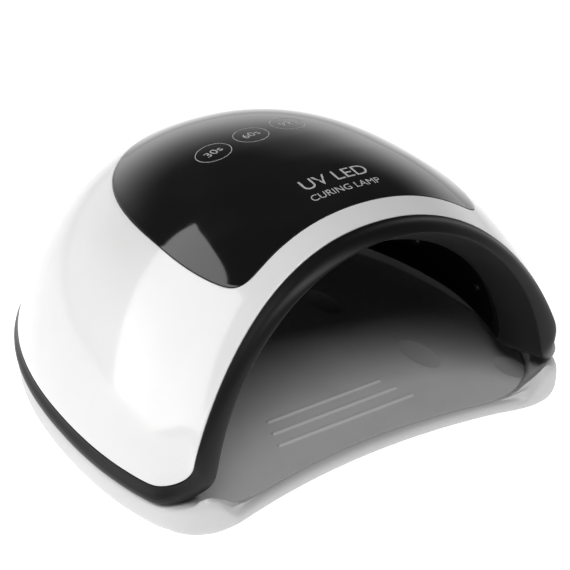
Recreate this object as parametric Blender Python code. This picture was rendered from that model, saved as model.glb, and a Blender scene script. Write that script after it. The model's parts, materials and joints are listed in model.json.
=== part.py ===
"""Gel-nail curing lamp: a domed lamp head standing on a removable magnetic tray.

Blender 4.5, metres, +Z up.  X is the width, the hand opening faces -Y, and the
origin is the middle of the footprint on the table.  The head's outside is one
superelliptic dome; the white shell, the black panel, the black frame that runs
round the opening and the foot, and the reflector inside are all struck from it.
"""
import math

import bmesh
import bpy
import numpy as np
from mathutils import Matrix, Vector

# ---------------------------------------------------------------- overall sizes
HALF_WIDTH = 0.1125          # half of the width over the dome's foot
BODY_DEPTH = 0.2216          # front tips of the tray to the back of the dome
DOME_RISE = 0.1063           # height of the dome above its foot line
DOME_FOOT_Z = 0.0114         # the level where the dome's side turns vertical
PLAN_POWER = 2.16            # plan outline: 2 is an ellipse, more is squarer
REAR_POWER = 2.35            # the same for the rear half
CROWN_POWER = 2.48           # how flat the crown is
PROFILE_POWER = 1.44         # how steep the side is
CENTRE_SETBACK = 0.0738      # dome centre behind the front tips
FRONT_REACH = 0.1327         # front half-axis of the dome, before the opening is cut

FRONT_Y = -BODY_DEPTH / 2
REAR_Y = BODY_DEPTH / 2
CENTRE_Y = FRONT_Y + CENTRE_SETBACK
REAR_REACH = REAR_Y - CENTRE_Y

# ---------------------------------------------------------------- levels and walls
FOOT_PAD_HEIGHT = 0.0010     # rubber pads under the tray
FLOOR_Z = 0.0056             # hand floor inside the tray
TRAY_TOP = 0.0123            # rim that the head stands on
SEAM_Z = 0.0203              # top of the black band, foot of the white shell
SEAM_GAP = 0.0003            # shadow gap between neighbouring pieces
SHELL_WALL = 0.0024
FRAME_WALL = 0.0020
LINER_WALL = 0.0015
PANEL_WALL = 0.0022

# ---------------------------------------------------------------- the opening
ARCH_SETBACK = 0.0228        # white edge behind the front tips, at the floor's middle
ARCH_LEAN = -0.042           # the edge leans forward as it rises
ARCH_BOW = -1.885            # and sweeps forward towards the legs, per metre
ARCH_BASE_Z = 0.0106         # centre height of the opening's ellipses
SHELL_CORNER = 0.0165        # round lower front corner of the white shell
EDGE_LAND = 0.0015           # strip of the frame that continues the dome's skin
LIP_HALF_WIDTH = 0.0841      # front lip of the frame
LIP_RISE = 0.0956
LIP_SETBACK = 0.0076
LIP_BOW = -0.58
LIP_CORNER = 0.0155
LIP_CROWN = 0.0013           # how far the strip bulges between seam and lip
LIP_ROUND = 0.0010
THROAT_HALF_WIDTH = 0.0834   # inner end of the black return
THROAT_RISE = 0.0817
THROAT_SETBACK = 0.0292
THROAT_CORNER = 0.0100
THROAT_LAND = 0.0024         # short straight collar where the reflector butts on
HEAD_FLANGE = 0.0140         # width of the head's foot, which overhangs the tray's rim
FLANGE_TOE_IN = 0.0085       # how much wider the foot grows towards the opening
FLANGE_TOE_START = math.radians(10)   # angle round the foot where it begins to widen
FLANGE_TOE_SPAN = math.radians(38)

# ---------------------------------------------------------------- control panel
PANEL_HALF_WIDTH = 0.0683
PANEL_FRONT_AXIS = 0.0730
PANEL_REAR_AXIS = 0.0902
PANEL_CENTRE_SHIFT = -0.0033
PANEL_POWER = 2.5
PANEL_SETBACK = 0.0114       # white strip between the panel and the opening
PANEL_CORNER = 0.0045
TOUCH_COUNT = 3
TOUCH_PITCH = 0.0206
TOUCH_Y = -0.0140
TOUCH_RADIUS = 0.0048
DISPLAY_SIZE = (0.030, 0.012, 0.0050)
DISPLAY_Y = 0.0080
BOARD_SIZE = (0.060, 0.042, 0.0016)
BOARD_DROP = 0.0110          # board below the panel's crown

# ---------------------------------------------------------------- reflector and lights
REFLECTOR_RISE = 0.0880
BEAD_RADIUS = 0.0030
BEAD_HEIGHT = 0.0022
BEAD_CLEARANCE = 0.0011
BEAD_ROWS = ((0.16, 5), (0.40, 7), (0.62, 6), (0.82, 4))
SENSOR_RADIUS = 0.0024
SENSOR_ROW = 2               # how far up the side wall
SENSOR_COLUMN = 1            # how far behind the lower corner
SENSOR_CLEARANCE = 0.0006
BEAD_SPREAD = (0, 180)     # degrees round the dome, 90 is the back
SPRING_CLEARANCE = 0.0006

# ---------------------------------------------------------------- tray
TRAY_INSET = 0.0006          # tray wall inside the dome's foot line
RIM_WIDTH = 0.0092           # rim that the head stands on
TRAY_CORNER = 0.0235         # how far the rounding of a front tip reaches along each side
TRAY_EDGE = 0.0012
TRAY_SHOULDER = 0.0022       # rounding of the rim's outer edge
TRAY_FRONT_SETBACK = 0.0110
TRAY_FRONT_BOW = -1.745
FLOOR_FRONT_SETBACK = 0.0166
FLOOR_FRONT_BOW = -1.93
FLOOR_CORNER = 0.0380
WELL_MARGIN = 0.0003         # floor plate's seat inside the well's wall
WELL_DRAFT = 0.0012          # lean of the well's wall
PLATE_THICKNESS = 0.0020
PLATE_GAP = 0.0003
LIP_STEP = 0.0004            # front lip above the floor plate
HORN_TO_SIDE = 0.0385        # foot of a tip's slope, in from the dome's widest point
HORN_SLOPE = 0.0120          # width of that slope
HORN_RISE = 0.0098           # a tip's top above the rim
HORN_CLEARANCE = 0.0009      # under the frame's rounded lower corner
HORN_SHARES = (0.30, 0.42, 0.65, 1.0)   # of that rise, from the outer wall to the inner crest
RIB_COUNT = 3
RIB_PITCH = 0.00856
RIB_HALF_LENGTHS = (0.0305, 0.0332, 0.0359)
RIB_REAR_SETBACK = 0.0502
RIB_RADIUS = 0.00125
RIB_SUNK = 0.0004            # ribs' centre line below the plate's top
DIMPLE_DEPTH = 0.0013
DIMPLE_SHARE = 0.35          # dip as a share of the ellipsoid's half height
DIMPLES = ((0.0586, 0.0584, 0.0065, 0.0142), (0.0862, 0.0266, 0.0060, 0.0100),
           (0.0480, 0.1212, 0.0062, 0.0130))   # x, behind the tips, half-axes x and y
PAD_RADIUS = 0.0055
PAD_INSET = 0.0130
PAD_GAP = 0.0003
PAD_ANGLES = (-24, 62)

# ---------------------------------------------------------------- fixings and inlet
MAGNET_RADIUS = 0.0021
MAGNET_THICKNESS = 0.0020
RIM_MIDDLE = 0.56            # fixings stand at this share of the rim, from outside
MAGNET_ANGLES = (-11, 58)    # degrees round the foot from the widest point
SCREW_RADIUS = 0.0018
SCREW_ANGLES = (14, 80)
JACK_BARREL_RADIUS = 0.0042
JACK_BORE_RADIUS = 0.0028
JACK_PIN_RADIUS = 0.0009
JACK_LENGTH = 0.0078
JACK_Z = 0.0320
JACK_PROUD = 0.0004
VENT_COUNT = 9
VENT_PITCH = 0.0046
VENT_SIZE = (0.0018, 0.0120)
VENT_Z = 0.0560

# ---------------------------------------------------------------- resolution
FRONT_STEPS = 16             # along the opening above the panel's corners
LEG_STEPS = 6
CORNER_STEPS = 6
TIP_STEPS = 10               # round a tray tip
FOOT_STEPS = 16              # from the corner to the middle of the back
SHELL_ROWS = 7
LINER_ROWS = 6

for old in list(bpy.data.objects):
    bpy.data.objects.remove(old, do_unlink=True)


# ================================================================ small helpers
def smooth(t):
    t = min(max(t, 0.0), 1.0)
    return t * t * (3 - 2 * t)


def mix(a, b, t):
    return a + (b - a) * t


def halve(test, low, high, rounds=40):
    """The value where test turns from true to false, by halving the interval."""
    for _ in range(rounds):
        middle = (low + high) / 2
        if test(middle):
            low = middle
        else:
            high = middle
    return (low + high) / 2


def material(name, colour, roughness, metallic=0.0):
    made = bpy.data.materials.new(name)
    made.use_nodes = True
    shader = made.node_tree.nodes["Principled BSDF"]
    shader.inputs["Base Color"].default_value = (*colour, 1.0)
    shader.inputs["Roughness"].default_value = roughness
    shader.inputs["Metallic"].default_value = metallic
    return made


WHITE_GLOSS = material("white_gloss", (0.90, 0.90, 0.90), 0.08)
WHITE_SATIN = material("white_satin", (0.86, 0.86, 0.86), 0.32)
PANEL_BLACK = material("panel_black", (0.010, 0.010, 0.011), 0.05)
FRAME_BLACK = material("frame_black", (0.022, 0.022, 0.023), 0.38)
LINER_BLACK = material("liner_black", (0.012, 0.012, 0.012), 0.55)
FLOOR_GREY = material("floor_grey", (0.36, 0.36, 0.36), 0.34, 0.6)
LENS_CLEAR = material("lens_clear", (0.80, 0.80, 0.84), 0.10)
BOARD_GREEN = material("board_green", (0.02, 0.12, 0.05), 0.45)
METAL = material("plated_steel", (0.62, 0.62, 0.63), 0.28, 1.0)
RUBBER = material("rubber", (0.03, 0.03, 0.03), 0.80)


def add_object(name, mesh, finish):
    item = bpy.data.objects.new(name, mesh)
    bpy.context.scene.collection.objects.link(item)
    mesh.materials.append(finish)
    mesh.shade_smooth()
    mesh.set_sharp_from_angle(angle=math.radians(35))
    return item


def from_bmesh(name, bm, finish):
    mesh = bpy.data.meshes.new(name)
    bm.to_mesh(mesh)
    bm.free()
    return add_object(name, mesh, finish)


def apply_modifiers(item):
    graph = bpy.context.evaluated_depsgraph_get()
    mesh = bpy.data.meshes.new_from_object(item.evaluated_get(graph))
    item.modifiers.clear()
    item.data = mesh


def solidify(item, wall):
    """Give an open skin its wall, on the side away from the face normals."""
    thick = item.modifiers.new("wall", 'SOLIDIFY')
    thick.thickness = wall
    thick.offset = -1.0
    thick.use_even_offset = True
    thick.use_quality_normals = True


def cut(item, cutter, operation='DIFFERENCE'):
    """Boolean with the cutter, which then stays as a hidden guide."""
    change = item.modifiers.new(operation.lower(), 'BOOLEAN')
    change.operation = operation
    change.object = cutter
    change.solver = 'EXACT'
    apply_modifiers(item)
    bpy.data.objects.remove(cutter, do_unlink=True)


# ================================================================ the dome
def dome_value(x, y, z):
    """Negative inside the dome, zero on its skin."""
    reach = FRONT_REACH if y < CENTRE_Y else REAR_REACH
    power = PLAN_POWER if y < CENTRE_Y else REAR_POWER
    plan = abs(x / HALF_WIDTH) ** PLAN_POWER + abs((y - CENTRE_Y) / reach) ** power
    height = max(z - DOME_FOOT_Z, 0.0) / DOME_RISE
    return plan ** (CROWN_POWER / PLAN_POWER) + height ** PROFILE_POWER - 1


def dome_z(x, y):
    return halve(lambda z: dome_value(x, y, z) < 0, DOME_FOOT_Z, DOME_FOOT_Z + DOME_RISE)


def dome_x(y, z):
    return halve(lambda x: dome_value(x, y, z) < 0, 0.0, HALF_WIDTH)


def dome_hit(direction):
    """Where a ray from the middle of the dome's foot leaves the skin."""
    x, y, z = direction
    span = BODY_DEPTH + DOME_RISE + HALF_WIDTH
    reach = halve(lambda r: dome_value(x * r, CENTRE_Y + y * r, DOME_FOOT_Z + z * r) < 0, 0.0, span)
    return np.array([x * reach, CENTRE_Y + y * reach, DOME_FOOT_Z + z * reach])


def dome_direction(point):
    d = np.array(point) - np.array([0.0, CENTRE_Y, DOME_FOOT_Z])
    return d / np.linalg.norm(d)


def dome_normal(point):
    step = 1e-5
    grads = []
    for axis in range(3):
        ahead = np.array(point, float)
        behind = np.array(point, float)
        ahead[axis] += step
        behind[axis] -= step
        grads.append(dome_value(*ahead) - dome_value(*behind))
    normal = np.array(grads)
    return normal / np.linalg.norm(normal)


def foot_point(angle, z, inset=0.0):
    """A point of the plan outline at a level; angle 0 is +X and 90 degrees is the back."""
    c, s = math.cos(angle), math.sin(angle)
    reach = halve(lambda r: dome_value(c * r, CENTRE_Y + s * r, z) < 0, 0.0, BODY_DEPTH)
    edge = np.array([c * reach, CENTRE_Y + s * reach, z])
    if inset:
        normal = dome_normal((edge[0], edge[1], DOME_FOOT_Z))
        normal[2] = 0
        edge -= inset * normal / np.linalg.norm(normal)
    return edge


# ================================================================ loops round the head
def arch_y(x, z, shift=0.0):
    return FRONT_Y + ARCH_SETBACK + ARCH_LEAN * z + ARCH_BOW * x * x + shift


def arch_point(theta, shift=0.0):
    """The white shell's edge: the dome cut by the leaning, bowed front."""
    c, s = math.cos(theta), math.sin(theta)

    def inside(r):
        x, z = HALF_WIDTH * r * c, ARCH_BASE_Z + DOME_RISE * r * s
        return dome_value(x, arch_y(x, z, shift), z) < 0

    r = halve(inside, 0.1, 1.3)
    x, z = HALF_WIDTH * r * c, ARCH_BASE_Z + DOME_RISE * r * s
    return np.array([x, arch_y(x, z, shift), z])


def ellipse_point(theta, half_width, rise, y, bow):
    x = half_width * math.cos(theta)
    return np.array([x, y + bow * x * x, ARCH_BASE_Z + rise * math.sin(theta)])


def panel_corner_angle():
    """Where on the opening the panel's front corner stands."""
    corner_x = panel_front_corner()[0]
    return halve(lambda theta: arch_point(theta)[0] > corner_x, 0.0, math.pi / 2)


def on_the_skin(angle):
    return 0.0


def head_flange(angle):
    """Width of the head's foot at an angle round it."""
    return HEAD_FLANGE + FLANGE_TOE_IN * smooth((FLANGE_TOE_START - angle) / FLANGE_TOE_SPAN)


def head_loop(front, skin_x, corner_radius, foot_z, foot_inset=on_the_skin):
    """One closed line round the head: over the opening, down a leg, round the lower
    corner, along the foot to the back, and the mirror image.  It starts at the top of
    the opening and runs towards +X.  front(theta) gives the opening's curve."""
    top = foot_z + corner_radius
    leg_end = halve(lambda t: front(t)[2] < top, 0.0, math.pi / 2)
    split = CORNER_ANGLE
    half = []
    for i in range(FRONT_STEPS // 2):
        half.append(front(mix(math.pi / 2, split, i / (FRONT_STEPS // 2))))
    for i in range(LEG_STEPS):
        half.append(front(mix(split, leg_end, i / LEG_STEPS)))
    leg = front(leg_end)
    centre_y = leg[1] + corner_radius
    for i in range(CORNER_STEPS):
        turn = i / CORNER_STEPS * math.pi / 2
        y = centre_y - corner_radius * math.cos(turn)
        z = top - corner_radius * math.sin(turn)
        half.append(np.array([mix(leg[0], skin_x(y, z), smooth(i / CORNER_STEPS)), y, z]))
    start = foot_start(centre_y, foot_z, foot_inset)
    for i in range(FOOT_STEPS + 1):
        angle = mix(start, math.pi / 2, i / FOOT_STEPS)
        half.append(foot_point(angle, foot_z, foot_inset(angle)))
    mirrored = [p * np.array([-1, 1, 1]) for p in half[-2:0:-1]]
    return np.array(half + mirrored)


def foot_start(y, z, inset):
    """The angle round the foot whose point lies at the given y."""
    return halve(lambda a: foot_point(a, z, inset(a))[1] < y, -math.pi / 2 + 0.05, math.pi / 3)


def skin_loop(shift=0.0):
    """The seam between white shell and black frame, moved back and up by shift."""
    return head_loop(lambda t: arch_point(t, shift), dome_x, SHELL_CORNER - min(shift, 0),
                     SEAM_Z + shift)


def lip_loop():
    foot_z = TRAY_TOP + SEAM_GAP
    front_y = FRONT_Y + LIP_SETBACK
    return head_loop(lambda t: ellipse_point(t, LIP_HALF_WIDTH, LIP_RISE, front_y, LIP_BOW),
                     dome_x, LIP_CORNER, foot_z)


def throat_loop(depth):
    """The inner edge of the black frame, and of the reflector a little deeper."""
    foot_z = TRAY_TOP + SEAM_GAP + depth
    throat_y = FRONT_Y + THROAT_SETBACK + depth

    def side(y, z):
        outer = foot_start(y, foot_z, head_flange)
        return foot_point(outer, foot_z, head_flange(outer))[0]

    return head_loop(lambda t: ellipse_point(t, THROAT_HALF_WIDTH, THROAT_RISE, throat_y, 0.0),
                     side, THROAT_CORNER, foot_z, head_flange)


# ================================================================ panel outline
def panel_centre_y():
    return CENTRE_Y + PANEL_CENTRE_SHIFT


def panel_side_x(y):
    axis = PANEL_FRONT_AXIS if y < panel_centre_y() else PANEL_REAR_AXIS
    share = 1 - abs((y - panel_centre_y()) / axis) ** PANEL_POWER
    return PANEL_HALF_WIDTH * max(share, 0.0) ** (1 / PANEL_POWER)


def panel_front_y(x):
    y = arch_y(x, DOME_RISE) + PANEL_SETBACK
    for _ in range(6):
        y = arch_y(x, dome_z(x, y)) + PANEL_SETBACK
    return y


def panel_front_corner():
    """The meeting of the panel's front edge and its side, in plan."""
    x = halve(lambda q: panel_side_x(panel_front_y(q)) > q, 0.02, PANEL_HALF_WIDTH)
    return np.array([x, panel_front_y(x)])


def panel_half_outline(grow):
    """Plan points of the panel's right half: the front edge, then the side to the back."""
    corner = panel_front_corner()
    inner_x = corner[0] - PANEL_CORNER
    front = []
    for i in range(FRONT_STEPS // 2):
        x = mix(0.0, inner_x, i / (FRONT_STEPS // 2))
        front.append(np.array([x, panel_front_y(x) - grow]))
    side = []
    start_y = corner[1] + PANEL_CORNER
    tail = 60
    first = np.array([inner_x, panel_front_y(inner_x) - grow])
    last = np.array([panel_side_x(start_y) + grow, start_y])
    knee = np.array([corner[0] + grow, corner[1] - grow])
    for i in range(5):
        t = i / 5
        side.append((1 - t) ** 2 * first + 2 * t * (1 - t) * knee + t * t * last)
    forward = (panel_centre_y() - start_y) / PANEL_FRONT_AXIS
    begin = -math.asin(forward ** (PANEL_POWER / 2))
    for i in range(tail + 1):
        angle = mix(begin, math.pi / 2, i / tail)
        axis = (PANEL_FRONT_AXIS if angle < 0 else PANEL_REAR_AXIS) + grow
        share = 2 / PANEL_POWER
        reach = abs(math.sin(angle)) ** share * (-1 if angle < 0 else 1)
        x = (PANEL_HALF_WIDTH + grow) * math.cos(angle) ** share if i < tail else 0.0
        side.append(np.array([x, panel_centre_y() + axis * reach]))
    return front, along(side, side_shares())


def side_shares():
    """How far along the panel's side each line from the leg, corner and foot starts."""
    leg_share, corner_share = 0.20, 0.30
    shares = [leg_share * i / LEG_STEPS for i in range(LEG_STEPS)]
    shares += [mix(leg_share, corner_share, i / CORNER_STEPS) for i in range(CORNER_STEPS)]
    shares += [mix(corner_share, 1.0, i / FOOT_STEPS) for i in range(FOOT_STEPS + 1)]
    return shares


def along(points, shares):
    """Points at the given shares of a polyline's length."""
    points = np.array(points)
    lengths = np.concatenate([[0], np.cumsum(np.linalg.norm(np.diff(points, axis=0), axis=1))])
    wanted = np.array(shares) * lengths[-1]
    return [np.array([np.interp(w, lengths, points[:, k]) for k in range(points.shape[1])])
            for w in wanted]


def panel_loop(grow=0.0):
    front, side = panel_half_outline(grow)
    half = [np.array([x, y, dome_z(x, y)]) for x, y in front + side]
    mirrored = [p * np.array([-1, 1, 1]) for p in half[-2:0:-1]]
    return np.array(half + mirrored)


# ================================================================ skins
def loft(name, loops, finish, capped=False):
    """A skin of quads through closed loops of equal length.  The loops run from the
    outside edge inwards and anticlockwise seen from above, so that normals point out."""
    bm = bmesh.new()
    rows = [[bm.verts.new(p) for p in loop] for loop in loops]
    count = len(loops[0])
    for upper, lower in zip(rows, rows[1:]):
        for i in range(count):
            j = (i + 1) % count
            bm.faces.new((upper[i], upper[j], lower[j], lower[i]))
    if capped:
        bm.faces.new(rows[0][::-1])
        bm.faces.new(rows[-1])
    return from_bmesh(name, bm, finish)


def rows_on_dome(outer, inner, rows):
    """Loops between two loops that both lie on the dome's skin."""
    made = [outer]
    for r in range(1, rows):
        t = r / rows
        loop = []
        for a, b in zip(outer, inner):
            direction = mix(dome_direction(a), dome_direction(b), t)
            loop.append(dome_hit(direction / np.linalg.norm(direction)))
        made.append(np.array(loop))
    made.append(inner)
    return made


CORNER_ANGLE = panel_corner_angle()


def make_top_shell():
    outer = skin_loop(SEAM_GAP)
    inner = panel_loop(SEAM_GAP)
    shell = loft("top_shell", rows_on_dome(outer, inner, SHELL_ROWS), WHITE_GLOSS)
    solidify(shell, SHELL_WALL)
    return shell


def panel_sides():
    """The panel's edge as four sides: front and back from left to right, left and right
    from front to back."""
    edge = panel_loop()
    wide = FRONT_STEPS
    deep = len(edge) // 2 - wide
    corner = wide // 2
    front = [edge[(i - corner) % len(edge)] for i in range(wide + 1)]
    right = [edge[corner + j] for j in range(deep + 1)]
    back = [edge[corner + deep + wide - i] for i in range(wide + 1)]
    left = [edge[-corner - j] for j in range(deep + 1)]
    return front, back, left, right


def panel_grid():
    """Points on the dome, blended in plan between the panel's four sides."""
    front, back, left, right = panel_sides()
    wide, deep = len(front) - 1, len(left) - 1
    grid = [front]
    for j in range(1, deep):
        v = j / deep
        row = [left[j]]
        for i in range(1, wide):
            u = i / wide
            corners = mix(mix(front[0], front[-1], u), mix(back[0], back[-1], u), v)
            p = mix(front[i], back[i], v) + mix(left[j], right[j], u) - corners
            row.append(np.array([p[0], p[1], dome_z(p[0], p[1])]))
        grid.append(row + [right[j]])
    return grid + [back]


def make_control_panel():
    bm = bmesh.new()
    rows = [[bm.verts.new(p) for p in row] for row in panel_grid()]
    for near, far in zip(rows, rows[1:]):
        for i in range(len(near) - 1):
            bm.faces.new((near[i], near[i + 1], far[i + 1], far[i]))
    panel = from_bmesh("control_panel", bm, PANEL_BLACK)
    solidify(panel, PANEL_WALL)
    return panel


# ================================================================ frame and reflector
def bulged(first, second, share, height):
    """Points part of the way between two loops, lifted off the chord."""
    loop = []
    for a, b in zip(first, second):
        p = mix(a, b, share)
        outward = p - np.array([0.0, CENTRE_Y, ARCH_BASE_Z])
        across = b - a
        normal = outward - across * np.dot(outward, across) / np.dot(across, across)
        loop.append(p + height * normal / np.linalg.norm(normal))
    return np.array(loop)


def make_arch_frame():
    """One moulding: a strip round the opening and the foot, folded at its lip into
    the black return of the opening and the flange under the foot."""
    seam = skin_loop()
    land = skin_loop(-EDGE_LAND)
    lip = lip_loop()
    throat = throat_loop(0.0)
    collar = throat_loop(THROAT_LAND)
    loops = [collar, throat, mix(throat, lip, 0.5), lip, bulged(land, lip, 0.66, LIP_CROWN * 0.8),
             bulged(land, lip, 0.33, LIP_CROWN), land, seam]
    frame = loft("arch_frame", loops, FRAME_BLACK)
    fold = frame.modifiers.new("lip", 'BEVEL')
    fold.limit_method = 'ANGLE'
    fold.angle_limit = math.radians(48)
    fold.width = LIP_ROUND
    fold.segments = 2
    solidify(frame, FRAME_WALL)
    return frame


def reflector_hit(direction):
    """The reflector's own dome, in the proportions of the outer one."""
    wide = (HALF_WIDTH - HEAD_FLANGE) / HALF_WIDTH
    high = REFLECTOR_RISE / DOME_RISE
    x, y, z = direction
    hit = dome_hit(np.array([x / wide, y / wide, z / high]))
    return np.array([hit[0] * wide, CENTRE_Y + (hit[1] - CENTRE_Y) * wide,
                     DOME_FOOT_Z + (hit[2] - DOME_FOOT_Z) * high])


def reflector_loops():
    """From the collar round the opening and foot inwards to the crown."""
    start = THROAT_LAND + SEAM_GAP
    edge = throat_loop(start)
    straight = throat_loop(start + THROAT_LAND)
    crown = np.array([0.0, CENTRE_Y, DOME_FOOT_Z + REFLECTOR_RISE])
    loops = [edge, straight]
    for r in range(1, LINER_ROWS + 1):
        t = r / (LINER_ROWS + 1)
        loop = []
        for point in straight:
            here = dome_direction(point)
            direction = mix(here, dome_direction(crown), t)
            pull = (point - reflector_hit(here)) * (1 - smooth(t / 0.30))
            loop.append(reflector_hit(direction) + pull)
        loops.append(np.array(loop))
    return loops


def make_reflector_liner():
    loops = reflector_loops()
    liner = loft("reflector_liner", loops[::-1], LINER_BLACK)
    bm = bmesh.new()
    bm.from_mesh(liner.data)
    rim = [e for e in bm.edges if e.is_boundary and e.verts[0].co.z > DOME_FOOT_Z + REFLECTOR_RISE * 0.9]
    bmesh.ops.holes_fill(bm, edges=rim, sides=0)
    bm.to_mesh(liner.data)
    bm.free()
    solidify(liner, LINER_WALL)
    return liner


# ================================================================ tray
def tray_outline(inset, front_setback, front_bow, corner, side_steps=22, front_steps=8):
    """Plan outline: concave in front, the dome's outline round the sides and back, and
    the two front tips rounded."""
    def front_y(x):
        return FRONT_Y + front_setback + front_bow * x * x

    def side(angle):
        return foot_point(angle, DOME_FOOT_Z, inset)[:2]

    meet = halve(lambda a: side(a)[1] < front_y(side(a)[0]), -math.pi / 2 + 0.3, 0.0)
    tip = side(meet)
    dense = 80
    front = [np.array([mix(0, tip[0], i / dense), front_y(mix(0, tip[0], i / dense))])
             for i in range(dense + 1)]
    flank = [side(mix(meet, math.pi / 2, i / dense)) for i in range(dense + 1)]
    front_share = corner / polyline_length(front)
    flank_share = corner / polyline_length(flank)
    front = along(front, [mix(0, 1 - front_share, i / front_steps) for i in range(front_steps + 1)])
    flank = along(flank, [mix(flank_share, 1, i / side_steps) for i in range(side_steps + 1)])
    turn = [rounded(front[-1], tip, flank[0], i / TIP_STEPS) for i in range(1, TIP_STEPS)]
    half = front + (turn if corner else []) + flank[0 if corner else 1:]
    return half + [p * np.array([-1, 1]) for p in half[-2:0:-1]]


def polyline_length(points):
    return float(np.linalg.norm(np.diff(np.array(points), axis=0), axis=1).sum())


def rounded(start, knee, end, t):
    """A point of the curve that rounds the knee between start and end."""
    return (1 - t) ** 2 * start + 2 * t * (1 - t) * knee + t * t * end


def prism(name, outline, low, high, finish, edge=0.0):
    """The outline extruded from low to high, its rims rounded by edge."""
    bm = bmesh.new()
    bottom = bm.faces.new([bm.verts.new((x, y, low)) for x, y in outline])
    lifted = bmesh.ops.extrude_face_region(bm, geom=[bottom])["geom"]
    bmesh.ops.translate(bm, vec=(0, 0, high - low),
                        verts=[g for g in lifted if isinstance(g, bmesh.types.BMVert)])
    bmesh.ops.recalc_face_normals(bm, faces=bm.faces[:])
    if edge:
        rims = [e for e in bm.edges if abs(e.verts[0].co.z - e.verts[1].co.z) < 1e-7]
        bmesh.ops.bevel(bm, geom=rims, offset=edge, segments=2, profile=0.5, affect='EDGES')
    return from_bmesh(name, bm, finish)


def cylinder(name, radius, low, high, x, y, finish, segments=20):
    bm = bmesh.new()
    bmesh.ops.create_cone(bm, cap_ends=True, segments=segments, radius1=radius, radius2=radius,
                          depth=high - low, matrix=Matrix.Translation((x, y, (low + high) / 2)))
    return from_bmesh(name, bm, finish)


def rim_spots(angles):
    """Points on the middle of the rim, mirrored left and right."""
    spots = []
    for degrees in angles:
        p = foot_point(math.radians(degrees), DOME_FOOT_Z, RIM_WIDTH * RIM_MIDDLE)
        spots += [(p[0], p[1]), (-p[0], p[1])]
    return spots


def rim_height(x, y, share):
    """Top of the rim: level under the head, rising under the rounded lower corner of the
    head by a share of the horn's height, and falling along the front to the low lip."""
    corner_y = FRONT_Y + LIP_SETBACK + LIP_BOW * LIP_HALF_WIDTH ** 2 + LIP_CORNER
    ahead = min(max(corner_y - y, 0.0), LIP_CORNER)
    rise = LIP_CORNER - math.sqrt(LIP_CORNER ** 2 - ahead ** 2)
    top = TRAY_TOP + min(max(rise - HORN_CLEARANCE, 0.0), HORN_RISE) * share
    if y > CENTRE_Y:
        return top
    slope = smooth((abs(x) - HALF_WIDTH + HORN_TO_SIDE) / HORN_SLOPE)
    return mix(FLOOR_Z + LIP_STEP, top, slope)


def body_outline(inset):
    return tray_outline(TRAY_INSET + inset, TRAY_FRONT_SETBACK + inset, TRAY_FRONT_BOW, TRAY_CORNER)


def make_base_tray():
    """Lofted from the underside up the outer wall, over the rim and down into the seat."""
    def level(outline, z):
        return np.array([(x, y, z) for x, y in outline])

    def rim(outline, drop, share):
        return np.array([(x, y, rim_height(x, y, share) - drop) for x, y in outline])

    outer = body_outline(0.0)
    crest = floor_outline(-WELL_DRAFT)
    seat = floor_outline(0.0)
    loops = [level(body_outline(TRAY_EDGE), FOOT_PAD_HEIGHT),
             level(outer, FOOT_PAD_HEIGHT + TRAY_EDGE),
             rim(outer, TRAY_SHOULDER, HORN_SHARES[0]),
             rim(body_outline(TRAY_SHOULDER * 0.3), TRAY_SHOULDER * 0.3, HORN_SHARES[1]),
             rim(body_outline(TRAY_SHOULDER), 0.0, HORN_SHARES[2]),
             rim(crest, 0.0, HORN_SHARES[3]),
             level(seat, FLOOR_Z),
             level(seat, FLOOR_Z - PLATE_THICKNESS - PLATE_GAP)]
    tray = loft("base_tray", loops, WHITE_SATIN, capped=True)
    for x, y in rim_spots(MAGNET_ANGLES):
        cut(tray, cylinder("pocket", MAGNET_RADIUS + SEAM_GAP,
                           TRAY_TOP - MAGNET_THICKNESS - SEAM_GAP * 2, TRAY_TOP * 2,
                           x, y, WHITE_SATIN, 16))
    return tray


def floor_outline(gap):
    return tray_outline(RIM_WIDTH + WELL_MARGIN + gap, FLOOR_FRONT_SETBACK + gap,
                        FLOOR_FRONT_BOW, FLOOR_CORNER)


def make_floor_plate():
    """The grey hand plate with three finger ribs and six shallow dimples."""
    top = FLOOR_Z
    plate = prism("floor_plate", floor_outline(PLATE_GAP), top - PLATE_THICKNESS, top, FLOOR_GREY)
    for x, setback, half_x, half_y in DIMPLES:
        for side in (-1, 1):
            cut(plate, bowl(side * x, FRONT_Y + setback, top, half_x, half_y))
    for row in range(RIB_COUNT):
        y = FRONT_Y + RIB_REAR_SETBACK - RIB_PITCH * row
        cut(plate, rib(RIB_HALF_LENGTHS[row], y, top), 'UNION')
    return plate


def bowl(x, y, z, half_x, half_y):
    """A shallow oval dish, the end of an ellipsoid that dips DIMPLE_DEPTH."""
    bm = bmesh.new()
    bmesh.ops.create_uvsphere(bm, u_segments=16, v_segments=10, radius=1.0)
    reach = math.sqrt(1 - (1 - DIMPLE_SHARE) ** 2)
    squash = Matrix.Diagonal((half_x / reach, half_y / reach, DIMPLE_DEPTH / DIMPLE_SHARE, 1))
    lift = Matrix.Translation((x, y, z + DIMPLE_DEPTH / DIMPLE_SHARE * (1 - DIMPLE_SHARE)))
    bm.transform(lift @ squash)
    return from_bmesh("bowl", bm, FLOOR_GREY)


def rib(half_length, y, z):
    """A round-topped bar with round ends, sunk to its middle in the plate."""
    bm = bmesh.new()
    bmesh.ops.create_uvsphere(bm, u_segments=10, v_segments=7, radius=RIB_RADIUS,
                              matrix=Matrix.Rotation(math.pi / 2, 4, 'Y'))
    right = [v for v in bm.verts if v.co.x > 1e-7]
    left = [v for v in bm.verts if v.co.x < -1e-7]
    bmesh.ops.translate(bm, vec=(half_length - RIB_RADIUS, 0, 0), verts=right)
    bmesh.ops.translate(bm, vec=(-half_length + RIB_RADIUS, 0, 0), verts=left)
    bm.transform(Matrix.Translation((0, y, z - RIB_SUNK)))
    return from_bmesh("rib", bm, FLOOR_GREY)


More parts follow.
